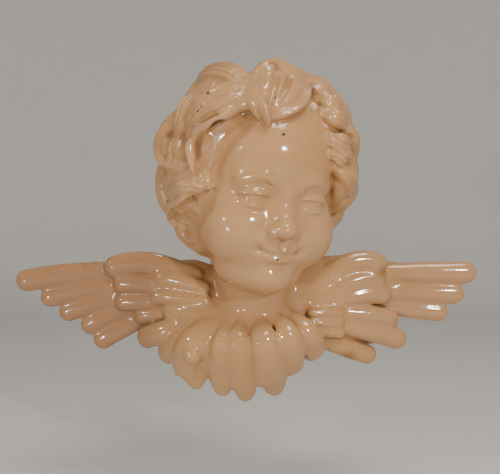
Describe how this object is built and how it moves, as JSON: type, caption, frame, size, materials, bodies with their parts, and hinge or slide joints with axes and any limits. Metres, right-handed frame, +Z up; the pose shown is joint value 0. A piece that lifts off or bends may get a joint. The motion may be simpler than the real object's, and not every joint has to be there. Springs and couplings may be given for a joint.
{
  "type": "ceramic cherub wall ornament",
  "caption": "Glazed ceramic cherub's head with curly hair, spread wings and a scalloped feather collar, flat-backed to hang on a wall.",
  "frame": {"origin": "on the flat back where it meets the wall, behind the neck", "axes": "+X to the viewer's right along the wings, +Y into the wall, +Z up; the cherub faces -Y"},
  "size_m": [0.2788, 0.0923, 0.1968],
  "materials": {
    "glaze": "glossy ivory glaze, brown in the hollows, thin and pinkish on the feather tips"
  },
  "bodies": {
    "root": {"cherub": "glaze"}
  },
  "joints": []
}
